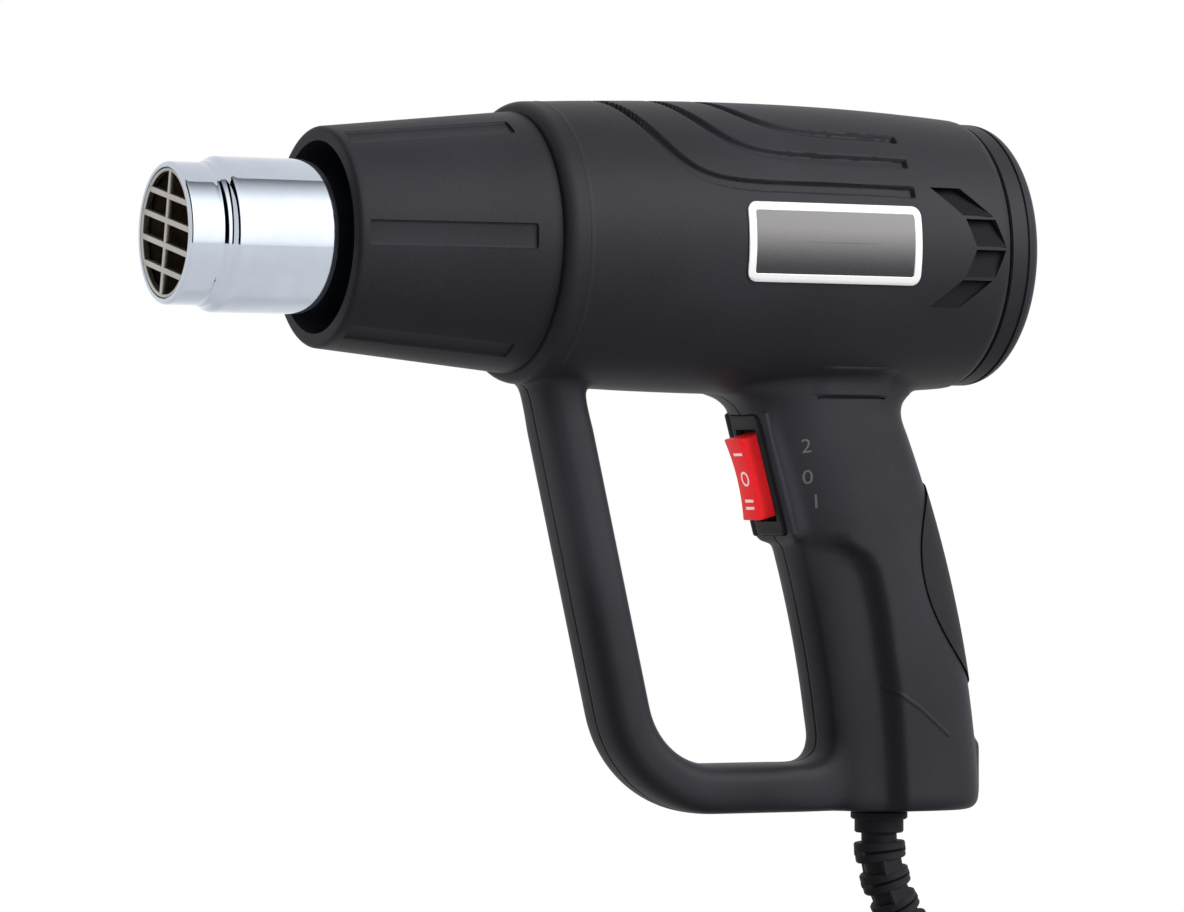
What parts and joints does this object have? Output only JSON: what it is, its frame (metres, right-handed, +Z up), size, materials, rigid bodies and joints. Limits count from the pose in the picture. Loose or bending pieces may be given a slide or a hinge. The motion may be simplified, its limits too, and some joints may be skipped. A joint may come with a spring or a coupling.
{
  "type": "hot air tool",
  "caption": "Corded hot air tool with a round barrel, chromed nozzle, closed loop handle, rocker switch in the grip and a cord put away in a coil.",
  "frame": {"origin": "in the middle of the grip, where a hand holds it", "axes": "+X back along the barrel, away from the nozzle mouth; +Z up from the handle base to the barrel; +Y across the tool, to the side that the housing screws are driven from"},
  "size_m": [0.2548, 0.1219, 0.2598],
  "materials": {
    "housing_plastic": "charcoal, fine satin texture",
    "chrome_tube": "bright",
    "stainless": "dull stamped",
    "grip_rubber": "matt",
    "badge_film": "printed film",
    "black_plastic": "matt",
    "rocker_red": "semi-gloss",
    "contact_brass": "bright",
    "mica": "flaky",
    "heater_wire": "oxidised",
    "plain_steel": "plated",
    "magnet": "sintered",
    "copper": "enamelled windings",
    "motor_plastic": "moulded",
    "circuit_board": "laminate",
    "capacitor_case": "moulded",
    "lead_brown": "insulation",
    "lead_blue": "insulation",
    "lead_red": "insulation"
  },
  "bodies": {
    "housing": {"air_duct": "black_plastic", "badge_plate": "badge_film", "clamp_screw_1": "plain_steel", "clamp_screw_2": "plain_steel", "cord_clamp": "black_plastic", "cord_coil": "grip_rubber", "cord_drop": "grip_rubber", "cord_inner": "grip_rubber", "cord_tail": "grip_rubber", "cord_tie": "black_plastic", "front_sleeve": "housing_plastic", "grip_pad": "grip_rubber", "heater_coil": "heater_wire", "housing_left": "housing_plastic", "housing_right": "housing_plastic", "housing_screw_1": "plain_steel", "housing_screw_2": "plain_steel", "housing_screw_3": "plain_steel", "housing_screw_4": "plain_steel", "housing_screw_5": "plain_steel", "housing_screw_6": "plain_steel", "lead_heater": "lead_red", "lead_live": "lead_brown", "lead_neutral": "lead_blue", "mica_liner": "mica", "mica_plate_flat": "mica", "mica_plate_upright": "mica", "motor_bush_front": "contact_brass", "motor_bush_rear": "contact_brass", "motor_can": "plain_steel", "motor_end_cap": "motor_plastic", "motor_magnet_1": "magnet", "motor_magnet_2": "magnet", "motor_screw_1": "plain_steel", "motor_screw_2": "plain_steel", "nozzle_tube": "chrome_tube", "outlet_grille": "stainless", "plug_body": "grip_rubber", "plug_pin_1": "contact_brass", "plug_pin_2": "contact_brass", "rear_cap": "housing_plastic", "rectifier_board": "circuit_board", "strain_relief": "grip_rubber", "suppressor_capacitor": "capacitor_case", "switch_case": "black_plastic", "switch_terminal_1": "contact_brass", "switch_terminal_2": "contact_brass", "switch_terminal_3": "contact_brass", "thermal_cutout": "contact_brass"},
    "rocker": {"switch_rocker": "rocker_red"},
    "rotor": {"motor_shaft": "plain_steel", "armature": "copper", "commutator": "copper", "fan_impeller": "black_plastic"}
  },
  "joints": [
    {"name": "rocker_tilt", "type": "hinge", "parent": "housing", "child": "rocker", "pos_m": [-0.02961, 0, 0.03263], "axis": [0, 1, 0], "range_deg": [-10, 10]},
    {"name": "fan_spin", "type": "hinge", "parent": "housing", "child": "rotor", "pos_m": [-0.03154, 0, 0.0883], "axis": [1, 0, 0], "continuous": true}
  ]
}
